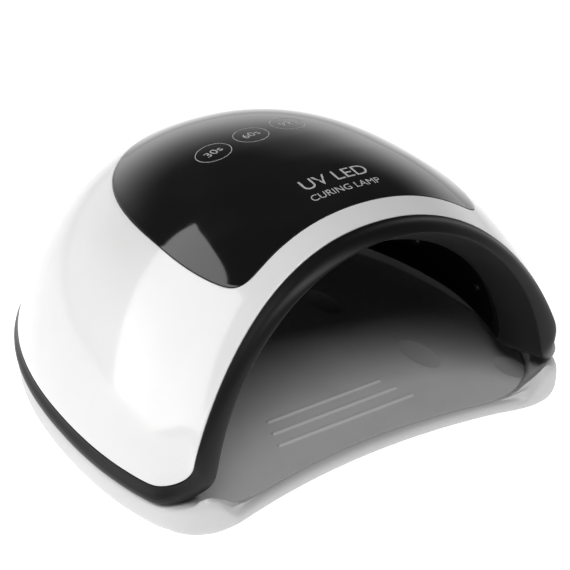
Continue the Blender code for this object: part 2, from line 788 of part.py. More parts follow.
def make_foot_pads():
    """Rubber pads let into the underside, two in front and two behind."""
    for name, degrees in (("front", PAD_ANGLES[0]), ("rear", PAD_ANGLES[1])):
        p = foot_point(math.radians(degrees), DOME_FOOT_Z, PAD_INSET)
        for side, x in (("right", p[0]), ("left", -p[0])):
            cylinder(f"foot_pad_{name}_{side}", PAD_RADIUS, 0.0, FOOT_PAD_HEIGHT - PAD_GAP,
                     x, p[1], RUBBER)


def make_magnets():
    """Pairs of small disc magnets hold the head on the tray."""
    names = ("front_right", "front_left", "rear_right", "rear_left")
    for name, (x, y) in zip(names, rim_spots(MAGNET_ANGLES)):
        top = TRAY_TOP - SEAM_GAP
        cylinder(f"tray_magnet_{name}", MAGNET_RADIUS, top - MAGNET_THICKNESS, top, x, y, METAL, 16)
        low = TRAY_TOP + SEAM_GAP + FRAME_WALL + SEAM_GAP
        cylinder(f"head_magnet_{name}", MAGNET_RADIUS, low, low + MAGNET_THICKNESS, x, y, METAL, 16)


# ================================================================ lights and electronics
def disc_on(name, point, normal, radius, profile, finish, segments=12):
    """A turned piece standing on a point along a normal; profile lists (radius share,
    height) from the base to the tip."""
    bm = bmesh.new()
    rings = []
    for share, height in profile:
        rings.append([bm.verts.new((radius * share * math.cos(2 * math.pi * i / segments),
                                    radius * share * math.sin(2 * math.pi * i / segments), height))
                      for i in range(segments)])
    for low, high in zip(rings, rings[1:]):
        for i in range(segments):
            j = (i + 1) % segments
            bm.faces.new((low[i], low[j], high[j], high[i]))
    bm.faces.new(rings[0][::-1])
    bm.faces.new(rings[-1])
    turn = Vector((0, 0, 1)).rotation_difference(Vector(normal)).to_matrix().to_4x4()
    bm.transform(Matrix.Translation(Vector(point)) @ turn)
    return from_bmesh(name, bm, finish)


LENS_PROFILE = ((1.0, 0.0), (0.92, 0.0011), (0.45, BEAD_HEIGHT))
WINDOW_PROFILE = ((1.0, 0.0), (1.0, 0.0010), (0.7, 0.0014))


def reflector_inward(direction):
    """The unit normal of the reflector at a direction, pointing into the hand space."""
    wide = (HALF_WIDTH - HEAD_FLANGE) / HALF_WIDTH
    high = REFLECTOR_RISE / DOME_RISE
    x, y, z = direction
    normal = dome_normal(dome_hit(np.array([x / wide, y / wide, z / high])))
    normal = normal / np.array([wide, wide, high])
    return -normal / np.linalg.norm(normal)


def bead_directions():
    """Rows of lamps from low on the wall to the crown, spread round the back and sides."""
    for lift, count in BEAD_ROWS:
        for i in range(count):
            around = math.radians(mix(BEAD_SPREAD[0], BEAD_SPREAD[1], (i + 0.5) / count))
            flat = math.cos(lift * math.pi / 2)
            yield np.array([flat * math.cos(around), flat * math.sin(around),
                            math.sin(lift * math.pi / 2)])


def make_beads():
    for number, direction in enumerate(bead_directions(), 1):
        inward = reflector_inward(direction)
        seat = reflector_hit(direction) + inward * BEAD_CLEARANCE
        disc_on(f"led_bead_{number:02d}", seat, inward, BEAD_RADIUS, LENS_PROFILE, LENS_CLEAR, 10)


def make_sensors():
    """Infrared emitter and receiver, low in the side walls just behind the opening."""
    loops = reflector_loops()
    column = FRONT_STEPS // 2 + LEG_STEPS + CORNER_STEPS + SENSOR_COLUMN
    here = loops[SENSOR_ROW][column]
    across = loops[SENSOR_ROW][column + 1] - loops[SENSOR_ROW][column - 1]
    along_wall = loops[SENSOR_ROW + 1][column] - loops[SENSOR_ROW - 1][column]
    inward = np.cross(across, along_wall)
    inward *= -np.sign(inward[0]) / np.linalg.norm(inward)
    mirror = np.array([-1, 1, 1])
    for flip, name in ((np.ones(3), "hand_sensor_emitter"), (mirror, "hand_sensor_receiver")):
        disc_on(name, (here + inward * SENSOR_CLEARANCE) * flip, inward * flip, SENSOR_RADIUS,
                WINDOW_PROFILE, LENS_CLEAR)


def block(name, size, centre, finish, edge=0.0):
    bm = bmesh.new()
    bmesh.ops.create_cube(bm, size=1.0, matrix=Matrix.Diagonal((*size, 1)))
    if edge:
        bmesh.ops.bevel(bm, geom=bm.edges[:], offset=edge, segments=2, profile=0.5, affect='EDGES')
    bm.transform(Matrix.Translation(centre))
    return from_bmesh(name, bm, finish)


def board_top_z():
    return dome_z(0, TOUCH_Y) - PANEL_WALL - BOARD_DROP


def make_electronics():
    """The control board under the panel, its touch springs and its digit display."""
    top = board_top_z()
    centre_y = (TOUCH_Y + DISPLAY_Y) / 2
    block("control_board", BOARD_SIZE, (0, centre_y, top - BOARD_SIZE[2] / 2), BOARD_GREEN)
    block("digit_display", DISPLAY_SIZE, (0, DISPLAY_Y, top + PLATE_GAP + DISPLAY_SIZE[2] / 2),
          FRAME_BLACK, 0.0004)
    for i in range(TOUCH_COUNT):
        x = (i - (TOUCH_COUNT - 1) / 2) * TOUCH_PITCH
        edge = min(dome_z(abs(x) + TOUCH_RADIUS, TOUCH_Y + reach) for reach in (-TOUCH_RADIUS, TOUCH_RADIUS))
        tip = edge - PANEL_WALL - SPRING_CLEARANCE
        touch_spring(f"touch_spring_{i + 1}", x, top + PLATE_GAP, tip)


def touch_spring(name, x, low, high):
    """A conical contact spring under a touch key, as its envelope."""
    height = high - low
    profile = ((0.55, 0.0), (0.55, height * 0.55), (1.0, height * 0.75), (1.0, height))
    disc_on(name, (x, TOUCH_Y, low), (0, 0, 1), TOUCH_RADIUS, profile, METAL, 16)


def make_dc_jack(shell):
    """Round power inlet through the back wall: a barrel with its centre pin."""
    back = np.array([0.0, 0.0, 0.0])
    back[1] = halve(lambda y: dome_value(0, y, JACK_Z) < 0, CENTRE_Y, REAR_Y)
    mouth = back[1] + JACK_PROUD
    axis = Matrix.Rotation(-math.pi / 2, 4, 'X')
    cutter = turned("jack_hole", ((0.0, -0.02), (JACK_BARREL_RADIUS + SEAM_GAP, -0.02),
                                  (JACK_BARREL_RADIUS + SEAM_GAP, 0.02), (0.0, 0.02)), METAL)
    cutter.data.transform(Matrix.Translation((0, back[1], JACK_Z)) @ axis)
    cut(shell, cutter)
    wall = 0.0012
    profile = ((0.0, -JACK_LENGTH), (JACK_BARREL_RADIUS, -JACK_LENGTH), (JACK_BARREL_RADIUS, 0.0),
               (JACK_BORE_RADIUS, 0.0), (JACK_BORE_RADIUS, -JACK_LENGTH + wall),
               (JACK_PIN_RADIUS, -JACK_LENGTH + wall), (JACK_PIN_RADIUS, -wall), (0.0, -wall))
    jack = turned("dc_jack", profile, FRAME_BLACK)
    jack.data.transform(Matrix.Translation((0, mouth, JACK_Z)) @ axis)
    return jack


def turned(name, profile, finish, segments=20):
    """A solid turned about Z from (radius, height) pairs whose ends are on the axis."""
    bm = bmesh.new()
    edge = [bm.verts.new((r, 0, z)) for r, z in profile]
    edges = [bm.edges.new(pair) for pair in zip(edge, edge[1:])]
    bmesh.ops.spin(bm, geom=edge + edges, cent=(0, 0, 0), axis=(0, 0, 1), angle=2 * math.pi,
                   steps=segments, use_merge=True)
    bmesh.ops.remove_doubles(bm, verts=bm.verts[:], dist=1e-6)
    bmesh.ops.recalc_face_normals(bm, faces=bm.faces[:])
    return from_bmesh(name, bm, finish)


def cut_vents(shell):
    """A row of upright cooling slots in the back of the shell."""
    for i in range(VENT_COUNT):
        x = (i - (VENT_COUNT - 1) / 2) * VENT_PITCH
        slot = block("slot", (VENT_SIZE[0], 0.03, VENT_SIZE[1]),
                     (x, halve(lambda y: dome_value(x, y, VENT_Z) < 0, CENTRE_Y, REAR_Y), VENT_Z), METAL)
        cut(shell, slot)


def make_screws():
    """Countersunk screws up through the frame's foot into the shell's bosses."""
    names = ("front_right", "front_left", "rear_right", "rear_left")
    low = TRAY_TOP + SEAM_GAP + FRAME_WALL + SEAM_GAP
    for name, (x, y) in zip(names, rim_spots(SCREW_ANGLES)):
        disc_on(f"case_screw_{name}", (x, y, low), (0, 0, 1), SCREW_RADIUS,
                ((0.5, 0.0), (1.0, 0.0012), (0.62, 0.0013), (0.62, 0.0040)), METAL, 10)


def main():
    white_shell = make_top_shell()
    apply_modifiers(white_shell)
    cut_vents(white_shell)
    make_control_panel()
    make_arch_frame()
    make_reflector_liner()
    make_base_tray()
    make_floor_plate()
    make_foot_pads()
    make_magnets()
    make_beads()
    make_sensors()
    make_electronics()
    make_dc_jack(white_shell)
    make_screws()


if __name__ == "__main__":
    main()
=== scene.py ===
# %% [markdown]
# # A domed curing lamp
# The lamp is a white dome over a black arched opening. A gloss black touch panel lies in its
# crown, and the whole head lifts off a white tray with a grey, ribbed hand plate. This lesson
# takes the plain engineering model and gives every piece its finished surface: smooth skins,
# softened edges, and a finish made of nodes.

import json
import math

import bmesh
import bpy
from mathutils import Matrix, Vector

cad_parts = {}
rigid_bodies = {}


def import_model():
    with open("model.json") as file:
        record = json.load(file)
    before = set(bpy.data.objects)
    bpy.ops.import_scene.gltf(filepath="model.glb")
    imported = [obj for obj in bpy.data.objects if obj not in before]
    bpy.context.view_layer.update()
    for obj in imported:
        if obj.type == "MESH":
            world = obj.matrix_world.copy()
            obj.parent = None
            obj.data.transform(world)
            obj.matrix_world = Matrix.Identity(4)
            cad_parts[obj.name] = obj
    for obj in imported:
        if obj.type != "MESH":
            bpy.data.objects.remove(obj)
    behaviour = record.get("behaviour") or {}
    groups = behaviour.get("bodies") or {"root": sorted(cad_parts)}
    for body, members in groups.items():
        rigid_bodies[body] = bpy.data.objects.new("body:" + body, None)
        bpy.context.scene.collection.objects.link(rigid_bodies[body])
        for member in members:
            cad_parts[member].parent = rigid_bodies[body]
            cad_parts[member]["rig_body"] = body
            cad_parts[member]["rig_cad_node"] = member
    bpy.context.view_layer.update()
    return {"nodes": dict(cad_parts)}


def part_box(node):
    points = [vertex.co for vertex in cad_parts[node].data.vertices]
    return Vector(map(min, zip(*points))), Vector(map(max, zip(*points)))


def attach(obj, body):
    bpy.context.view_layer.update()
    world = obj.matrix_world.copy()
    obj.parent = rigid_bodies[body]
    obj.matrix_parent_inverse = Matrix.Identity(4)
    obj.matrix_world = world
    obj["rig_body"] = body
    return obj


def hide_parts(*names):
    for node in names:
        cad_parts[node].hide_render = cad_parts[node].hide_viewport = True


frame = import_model()
shell_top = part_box("top_shell")[1].z
print("loaded", len(frame["nodes"]), "pieces; the shell tops out at", round(shell_top * 1000, 1), "mm")

# %% [markdown]
# ## Working by selection
# Blender's modelling operators act on whatever is selected, so a script needs the same habit as
# a person at the screen: clear the selection, pick the object, enter edit mode, and pick faces
# or edges by where they are and which way they point. A few short helpers keep that readable.
# Blender could also be driven through its mesh library alone, but the operators are what a
# learner sees in the menus.

# %% Helpers that select
def pick(item):
    """Make item the only selected object."""
    if bpy.context.mode != 'OBJECT':
        bpy.ops.object.mode_set(mode='OBJECT')
    bpy.ops.object.select_all(action='DESELECT')
    item.select_set(True)
    bpy.context.view_layer.objects.active = item
    return item


def edit(item, mode='FACE'):
    """Enter edit mode on item with nothing selected."""
    pick(item)
    bpy.ops.object.mode_set(mode='EDIT')
    bpy.ops.mesh.select_mode(type=mode)
    bpy.ops.mesh.select_all(action='DESELECT')


def edit_mesh():
    """The mesh being edited, whose faces and edges can be looked at one by one."""
    shape = bmesh.from_edit_mesh(bpy.context.edit_object.data)
    shape.faces.ensure_lookup_table()
    return shape


def done():
    """Leave edit mode."""
    bpy.ops.object.mode_set(mode='OBJECT')


# %% [markdown]
# ## Copying an engineering piece
# A piece of the engineering model arrives as loose triangles. Its copy is merged into one skin
# and its triangles are paired back into the quads it was designed with, because a subdivision
# surface only flows well over quads. The copy forgets that it was an engineering node, and it
# later stands in for that node.

# %% Copy a piece
MERGE = 1e-6                          # points closer than this are one point
PAIRING_ANGLE = math.radians(60)      # two triangles that fold further are never paired


def copy_piece(node, name):
    """A merged quad copy of a node, free to be reshaped."""
    pick(frame["nodes"][node])
    bpy.ops.object.duplicate()
    item = bpy.context.active_object
    item.name = name
    item.data.name = name
    item.parent = None
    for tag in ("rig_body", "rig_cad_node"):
        del item[tag]
    edit(item)
    bpy.ops.mesh.select_all(action='SELECT')
    bpy.ops.mesh.remove_doubles(threshold=MERGE)
    bpy.ops.mesh.tris_convert_to_quads(face_threshold=PAIRING_ANGLE, shape_threshold=math.pi,
                                       topology_influence=1.0)
    done()
    item.data.materials.clear()
    return item


# %% [markdown]
# ## Refining a piece
# Most pieces already have the right form and only lack smoothness. Their sharp edges are
# creased, and the skin is subdivided so that it curves through its quads. On the larger pieces
# the sharp edges are then rounded a little, as every moulded edge is. Modelling them again from
# primitives would risk losing the fit between neighbours, so the engineering form is kept and
# refined.

# %% Crease, subdivide and round
def modify(item, kind, **settings):
    """Add a modifier with its settings and apply it."""
    pick(item)
    step = item.modifiers.new(kind.lower(), kind)
    for key, value in settings.items():
        setattr(step, key, value)
    bpy.ops.object.modifier_apply(modifier=step.name)


def refine(node, name, crease, levels):
    """A smooth copy of a node that keeps the edges which turn by more than crease degrees."""
    item = copy_piece(node, name)
    edit(item, 'EDGE')
    bpy.ops.mesh.edges_select_sharp(sharpness=math.radians(crease))
    bpy.ops.transform.edge_crease(value=1.0)
    done()
    modify(item, 'SUBSURF', levels=levels, render_levels=levels)
    return item


def round_edges(item, width, degrees=50, segments=3, spare=None):
    """Round the sharp edges, apart from those for which spare(edge middle) holds."""
    edit(item, 'EDGE')
    bpy.ops.mesh.edges_select_sharp(sharpness=math.radians(degrees))
    shape = edit_mesh()
    for edge in shape.edges:
        middle = (edge.verts[0].co + edge.verts[1].co) / 2
        if edge.select and spare and spare(middle):
            edge.select = False
    shape.select_flush_mode()
    bmesh.update_edit_mesh(item.data)
    bpy.ops.mesh.bevel(offset=width, segments=segments, affect='EDGES', clamp_overlap=True)
    done()


# %% [markdown]
# ## Settling a piece
# A finished piece is shaded smooth up to an angle, given its finish, and hung on the body that
# it moves with. The tray is one body and the lifting head is the other. The piece then hides
# the engineering node that it stands for, which stays in the motion model.

# %% Settle
def settle(item, body, nodes, finish, degrees=32):
    """Shade the finished piece, hang it on its body and let it stand for its nodes."""
    pick(item)
    bpy.ops.object.shade_smooth_by_angle(angle=math.radians(degrees))
    item.data.materials.clear()
    item.data.materials.append(finish)
    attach(item, body)
    if nodes:
        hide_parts(*nodes)
    print(item.name, len(item.data.polygons), "faces")
    return item


# %% [markdown]
# ## Finishes made of nodes
# A finish is a small network: noise patterns on the piece's own coordinates vary the roughness
# and the height, and the shader does the rest. Wiring nodes by hand is long, so one class wraps
# a node's output and lets Python's own `+`, `-` and `*` add the maths nodes, and one function
# adds any other node.

# %% A wrapper for node outputs
class Signal:
    """The output of a node, usable in Python arithmetic."""

    def __init__(self, tree, socket):
        self.tree = tree
        self.socket = socket

    def maths(self, operation, first, second):
        return add_node(self.tree, 'ShaderNodeMath', {"operation": operation}, {0: first, 1: second})

    def __add__(self, other):
        return self.maths('ADD', self, other)

    def __radd__(self, other):
        return self.maths('ADD', other, self)

    def __sub__(self, other):
        return self.maths('SUBTRACT', self, other)

    def __rsub__(self, other):
        return self.maths('SUBTRACT', other, self)

    def __mul__(self, other):
        return self.maths('MULTIPLY', self, other)

    def __rmul__(self, other):
        return self.maths('MULTIPLY', other, self)


def add_node(tree, kind, settings, inputs, output=0):
    """Add a node: its settings first, then a value or a link for each socket."""
    node = tree.nodes.new(kind)
    for key, value in settings.items():
        setattr(node, key, value)
    for key, value in inputs.items():
        if isinstance(value, Signal):
            tree.links.new(value.socket, node.inputs[key])
        else:
            node.inputs[key].default_value = value
    return Signal(tree, node.outputs[output])


def map_range(tree, signal, start, end, low, high, **settings):
    """Map a signal's range onto another, held at both ends."""
    return add_node(tree, 'ShaderNodeMapRange', settings,
                    {"Value": signal, "From Min": start, "From Max": end, "To Min": low, "To Max": high})


# %% [markdown]
# ## One class for every finish
# All the lamp's finishes are wanted in the same few words: patches where hands have been, a
# grain with a depth, and a colour that drifts from one shade to another. Each word is a method,
# so that a finish reads as a short recipe. A constant goes straight onto the shader.

# %% The finish
MICRON = 1e-6


class Finish:
    """A material whose shader's sockets are set by name."""

    def __init__(self, name, **constants):
        self.material = bpy.data.materials.new(name)
        self.material.use_nodes = True
        self.tree = self.material.node_tree
        self.shader = self.tree.nodes["Principled BSDF"]
        self.place = add_node(self.tree, 'ShaderNodeTexCoord', {}, {}, "Object")
        for key, value in constants.items():
            self.set(key.replace("_", " "), value)

    def set(self, socket, value):
        """Link a signal to a socket of the shader, or give the socket a value."""
        if isinstance(value, Signal):
            self.tree.links.new(value.socket, self.shader.inputs[socket])
        else:
            self.shader.inputs[socket].default_value = value

    def add(self, kind, settings=None, output=0, **inputs):
        """Add a node whose sockets are named in plain words."""
        named = {key.replace("_", " "): value for key, value in inputs.items()}
        return add_node(self.tree, kind, settings or {}, named, output)

    def noise(self, scale, detail, roughness=0.5):
        """Noise with about scale cells to the metre."""
        return self.add('ShaderNodeTexNoise', Vector=self.place, Scale=scale, Detail=detail,
                        Roughness=roughness)

    def patches(self, scale, detail, start, end, roughness=0.5):
        """Soft patches: 0 where the noise is below start, and 1 where it is above end."""
        return map_range(self.tree, self.noise(scale, detail, roughness), start, end, 0.0, 1.0)

    def relief(self, height, depth):
        """A bump of the given depth in metres."""
        self.set("Normal", self.add('ShaderNodeBump', Strength=1.0, Distance=depth, Height=height))

    def tint(self, factor, first, second):
        """A base colour that goes from one shade to another.

        A Mix node's sockets share their names, so its colour sockets are picked by number.
        """
        self.set("Base Color", add_node(self.tree, 'ShaderNodeMix', {"data_type": 'RGBA'},
                                        {0: factor, 6: first, 7: second}, output=2))


def grey(level, blue=0.0):
    """A grey, a little bluer or a little warmer."""
    return (level, level, level * (1 + blue), 1.0)


# %% [markdown]
# ## The two white plastics
# The dome is moulded in a polished tool, so it is almost a mirror under a clear skin, with the
# faint unevenness that moulders call orange peel. The tray comes from a satin tool: the same
# white resin, with a fine grain, but drawn greyer than the dome as painted shade. Both get
# cloudy patches where hands have been.

# %% White gloss and white satin
def make_white_gloss():
    finish = Finish("white_gloss", IOR=1.49, Coat_Roughness=0.04, Coat_IOR=1.5, Coat_Weight=0.5)
    smudge = finish.patches(scale=28, detail=4, start=0.42, end=0.68)
    finish.set("Roughness", 0.12 + smudge * 0.05)
    finish.tint(smudge, grey(0.66), grey(0.64, blue=-0.004))
    finish.relief(finish.noise(scale=240, detail=2), 6 * MICRON)
    return finish.material


def make_white_satin_painted_shade():
    finish = Finish("white_satin", IOR=1.49)
    smudge = finish.patches(scale=22, detail=4, start=0.40, end=0.70)
    grain = finish.noise(scale=2600, detail=2)
    finish.set("Roughness", 0.36 + smudge * 0.08 + grain * 0.04)
    # The tray's white is drawn greyer than the dome's as painted shade; the smudge patches on it are
    # real.
    finish.tint(smudge, grey(0.56), grey(0.54, blue=-0.006))
    finish.relief(grain, 12 * MICRON)
    return finish.material


WHITE_GLOSS = make_white_gloss()
WHITE_SATIN_PAINTED_SHADE = make_white_satin_painted_shade()
print("made", WHITE_GLOSS.name, "and", WHITE_SATIN_PAINTED_SHADE.name)

# %% [markdown]
# ## The three blacks
# The panel is piano black: nearly no colour of its own, and a surface so smooth that it shows
# the studio. Fingers leave it very slightly dull in places. The frame is satin with the fine
# pitted grain of a spark-eroded tool, and the reflector is drawn a matt near-black that
# swallows light, as painted shade for the shaded hollow.

# %% Panel, frame and reflector
def make_panel_black():
    finish = Finish("panel_black", IOR=1.52, Coat_Weight=0.3, Coat_Roughness=0.03)
    touch = finish.patches(scale=36, detail=5, start=0.50, end=0.72)
    finish.set("Roughness", 0.055 + touch * 0.05)
    finish.tint(touch, grey(0.0045), grey(0.0065))
    finish.relief(finish.noise(scale=160, detail=2), 3 * MICRON)
    return finish.material


def make_frame_black():
    finish = Finish("frame_black", IOR=1.46, Specular_IOR_Level=0.22)
    grain = finish.noise(scale=3800, detail=2)
    wear = finish.patches(scale=30, detail=4, start=0.45, end=0.70)
    finish.set("Roughness", 0.40 + grain * 0.06 - wear * 0.06)
    finish.tint(wear, grey(0.004), grey(0.006))
    finish.relief(grain, 14 * MICRON)
    return finish.material


def make_liner_painted_shade_black():
    finish = Finish("liner_black", IOR=1.4, Specular_IOR_Level=0.15)
    grain = finish.noise(scale=3000, detail=2)
    finish.set("Roughness", 0.62 + grain * 0.08)
    # Painted shade: the reflector's near-black colour stands in for the shade inside the hollow.
    finish.tint(finish.noise(scale=26, detail=3), grey(0.0015), grey(0.003))
    finish.relief(grain, 15 * MICRON)
    return finish.material


PANEL_BLACK = make_panel_black()
FRAME_BLACK = make_frame_black()
LINER_PAINTED_SHADE_BLACK = make_liner_painted_shade_black()
print("made", PANEL_BLACK.name, FRAME_BLACK.name, LINER_PAINTED_SHADE_BLACK.name)

# %% [markdown]
# ## The grey hand plate's resin
# The plate is moulded in a silver-grey resin with fine flake. It is half glossy, so the dark
# hollow above it shows as a soft gradient over the plate. Flake is drawn as tiny cells that
# change the roughness a little, and use leaves light scuffs.

# %% Silver grey
def make_floor_grey():
    finish = Finish("floor_grey", IOR=1.5)
    flake = finish.add('ShaderNodeTexVoronoi', Vector=finish.place, Scale=2600.0)
    scuff = finish.patches(scale=34, detail=5, start=0.48, end=0.72, roughness=0.6)
    finish.set("Roughness", 0.30 + flake * 0.06 + scuff * 0.05)
    finish.tint(scuff, grey(0.50), grey(0.46))
    finish.relief(finish.noise(scale=1800, detail=2), 10 * MICRON)
    return finish.material


FLOOR_GREY = make_floor_grey()
print("made", FLOOR_GREY.name)

# %% [markdown]
# ## Small finishes
# The lamp's small parts need finishes too: clear lenses over the lights, drawn near black as
# painted shade so that they sink into the dark hollow, plated steel for magnets, screws and
# springs, a green board with a faint pattern of tracks, and matt rubber.

# %% Lens, steel, board, rubber and print
def make_shade_darkened_lens():
    finish = Finish("lens_clear", IOR=1.45, Specular_IOR_Level=0.35)
    cloud = finish.noise(scale=900, detail=2)
    finish.set("Roughness", 0.10 + cloud * 0.06)
    # The lens's near-black colour is painted shade: a clear lens darkened to vanish in the shaded
    # hollow.
    finish.tint(cloud, grey(0.010, blue=0.1), grey(0.022, blue=0.1))
    return finish.material


def make_steel():
    finish = Finish("plated_steel", Metallic=1.0)
    brush = finish.noise(scale=1400, detail=3)
    finish.set("Roughness", 0.20 + brush * 0.14)
    finish.tint(brush, grey(0.58), grey(0.66))
    finish.relief(brush, 6 * MICRON)
    return finish.material


def make_board_green():
    finish = Finish("board_green", IOR=1.5)
    tracks = finish.add('ShaderNodeTexBrick', {"offset": 0.5}, output="Fac", Vector=finish.place,
                        Scale=420.0, Mortar_Size=0.03)
    finish.set("Roughness", 0.38 + tracks * 0.12)
    finish.tint(tracks, (0.012, 0.085, 0.035, 1.0), (0.03, 0.16, 0.07, 1.0))
    finish.relief(tracks, 20 * MICRON)
    return finish.material


def make_rubber():
    finish = Finish("rubber", IOR=1.5)
    grain = finish.noise(scale=1500, detail=3)
    finish.set("Roughness", 0.78 + grain * 0.1)
    finish.tint(grain, grey(0.018), grey(0.03))
    finish.relief(grain, 30 * MICRON)
    return finish.material


def make_print():
    finish = Finish("panel_print", IOR=1.5)
    ink = finish.noise(scale=1600, detail=2)
    finish.set("Roughness", 0.35 + ink * 0.1)
    finish.tint(ink, grey(0.40), grey(0.46))
    return finish.material


SHADE_DARKENED_LENS = make_shade_darkened_lens()
STEEL = make_steel()
BOARD_GREEN = make_board_green()
RUBBER = make_rubber()
PRINT = make_print()
print("made", len(bpy.data.materials), "finishes in all")

# %% [markdown]
# ## The white dome
# The dome is one thin moulding in polished white plastic, open at the front, with a seat for
# the panel, nine cooling slots and a hole for the power inlet at the back. Its rims are
# rounded, while the slots keep the crisp edges that a steel slot pin leaves.

# %% The dome
SHELL_ROUND = 0.00035
SLOTS_FRONT = 0.05            # the slots lie behind this, in the back of the dome
SLOTS_HALF_WIDTH = 0.024
SLOTS_BOTTOM = 0.024
SLOTS_TOP = 0.066


def at_the_slots(point):
    beside = abs(point.x) < SLOTS_HALF_WIDTH
    return point.y > SLOTS_FRONT and beside and SLOTS_BOTTOM < point.z < SLOTS_TOP


shell = refine("top_shell", "dome_shell", crease=50, levels=2)
round_edges(shell, SHELL_ROUND, spare=at_the_slots)
settle(shell, "head", ["top_shell"], WHITE_GLOSS)

# %% [markdown]
# ## The touch panel
# The panel is a curved black sheet that lies flush in the dome. Its cut edge is polished to a
# small round that catches a bright line of light, so its rounding is wider than the dome's.

# %% The panel
PANEL_ROUND = 0.0006

panel = refine("control_panel", "touch_panel", crease=50, levels=3)
round_edges(panel, PANEL_ROUND)
settle(panel, "head", ["control_panel"], PANEL_BLACK)

# %% [markdown]
# ## The frame and the reflector
# The frame is one black moulding: a strip round the opening and the foot of the dome, folded
# in at its lip. Behind it the reflector closes the hollow and carries the lights. Only the
# frame is touched by hands, so only its edges are rounded.

# %% Frame and reflector
FRAME_ROUND = 0.0003

arch = refine("arch_frame", "opening_frame", crease=55, levels=2)
round_edges(arch, FRAME_ROUND)
settle(arch, "head", ["arch_frame"], FRAME_BLACK, degrees=40)

liner = refine("reflector_liner", "reflector", crease=55, levels=2)
settle(liner, "head", ["reflector_liner"], LINER_PAINTED_SHADE_BLACK, degrees=40)

# %% [markdown]
# ## The tray
# The tray is a satin white moulding with a soft shoulder. Its rim rises in two tips under the
# rounded corners of the frame, and falls along the front to a low lip. The edges of its
# underside stay sharp, because they are never seen.

# %% The tray
TRAY_ROUND = 0.0004
UNDERSIDE = 0.004             # edges lower than this belong to the tray's underside

tray = refine("base_tray", "tray_body", crease=55, levels=2)
round_edges(tray, TRAY_ROUND, spare=lambda point: point.z < UNDERSIDE)
settle(tray, "tray", ["base_tray"], WHITE_SATIN_PAINTED_SHADE, degrees=40)

# %% [markdown]
# ## The hand plate's slab
# The grey plate has three ribs for the finger tips and six shallow oval dishes, which are too
# fine for the engineering model to show well. So its outline is taken from the underside of the
# engineering plate, and extruded to its thickness again, to give a clean flat slab to cut.

# %% The slab
PLATE_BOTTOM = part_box("floor_plate")[0].z
PLATE_TOP = 0.0056            # level of the plate's flat top
PLATE_THICKNESS = PLATE_TOP - PLATE_BOTTOM
PLATE_ROUND = 0.00025
SKIN_ANGLE = math.radians(40)         # a skin ends where it turns by more than this
FLAT_ANGLE = math.radians(1)          # faces that turn by less than this become one
CORNER_ANGLE = math.radians(60)       # edges that turn by more than this are rounded


def keep_underside(item):
    """Keep the smooth skin that holds the lowest, most downward face, and delete the rest."""
    edit(item)
    shape = edit_mesh()
    seed = max(shape.faces, key=lambda face: -face.normal.z - face.calc_center_median().z)
    seed.select = True
    shape.faces.active = seed
    bmesh.update_edit_mesh(item.data)
    bpy.ops.mesh.faces_select_linked_flat(sharpness=SKIN_ANGLE)
    bpy.ops.mesh.select_all(action='INVERT')
    bpy.ops.mesh.delete(type='FACE')
    bpy.ops.mesh.select_all(action='SELECT')
    bpy.ops.mesh.delete_loose()
    done()


plate = copy_piece("floor_plate", "hand_plate")
keep_underside(plate)
edit(plate)
bpy.ops.mesh.select_all(action='SELECT')
bpy.ops.mesh.dissolve_limited(angle_limit=FLAT_ANGLE)
bpy.ops.mesh.extrude_region_move(TRANSFORM_OT_translate={"value": (0, 0, PLATE_THICKNESS)})
bpy.ops.mesh.select_all(action='SELECT')
bpy.ops.mesh.normals_make_consistent(inside=False)
done()
modify(plate, 'BEVEL', width=PLATE_ROUND, segments=2, limit_method='ANGLE',
       angle_limit=CORNER_ANGLE)
print("slab of", round(PLATE_THICKNESS * 1000, 2), "mm")

# %% [markdown]
# ## Dishes and ribs
# A dish is cut with a wide ellipsoid, as a ball cutter would cut it in the mould. A rib is a
# sphere whose halves are pulled apart, sunk a little into the slab and joined to it. Pushing
# the slab's own points up and down would need a very fine mesh all over, and cutting needs it
# only where a dish or a rib is.

# %% Dishes and ribs
FRONT_TIPS = -0.1108          # y of the lamp's front tips, from which lengths are taken
DISH_DEPTH = 0.0013
DISH_SHARE = 0.35             # of the ellipsoid's half height that is below the top
DISHES = ((0.0586, 0.0584, 0.0065, 0.0142), (0.0862, 0.0266, 0.0060, 0.0100),
          (0.0480, 0.1212, 0.0062, 0.0130))    # x, length behind the tips, half axes
RIB_HALF_LENGTHS = (0.0305, 0.0332, 0.0359)
RIB_PITCH = 0.00856
RIB_REAR = 0.0502
RIB_RADIUS = 0.00125
RIB_SUNK = 0.0004
PAST_MIDDLE = RIB_RADIUS * 0.01       # points further out than this are in one half


def combine(item, other, operation):
    """Cut other from item, or join it to item, and remove it."""
    modify(item, 'BOOLEAN', operation=operation, object=other, solver='EXACT')
    bpy.data.objects.remove(other, do_unlink=True)


def add_ball(**settings):
    """A new sphere, alone in the selection, with its place and size in its mesh."""
    bpy.ops.object.select_all(action='DESELECT')
    bpy.ops.mesh.primitive_uv_sphere_add(**settings)
    bpy.ops.object.transform_apply(location=True, rotation=True, scale=True)
    return bpy.context.active_object


def dish_cutter(x, y, half_x, half_y):
    """An ellipsoid that dips DISH_DEPTH below the plate's top over the oval."""
    tall = DISH_DEPTH / DISH_SHARE
    reach = math.sqrt(1 - (1 - DISH_SHARE) ** 2)
    return add_ball(segments=72, ring_count=36, radius=1.0,
                    location=(x, y, PLATE_TOP + tall - DISH_DEPTH),
                    scale=(half_x / reach, half_y / reach, tall))


def rib_bar(half_length, y):
    """A round bar with round ends along X."""
    bar = add_ball(segments=32, ring_count=16, radius=RIB_RADIUS,
                   location=(0, y, PLATE_TOP - RIB_SUNK), rotation=(0, math.pi / 2, 0))
    for side in (-1, 1):
        edit(bar, 'VERT')
        shape = edit_mesh()
        for vert in shape.verts:
            vert.select = vert.co.x * side > PAST_MIDDLE
        shape.select_flush_mode()
        bmesh.update_edit_mesh(bar.data)
        bpy.ops.transform.translate(value=(side * (half_length - RIB_RADIUS), 0, 0))
        done()
    return bar


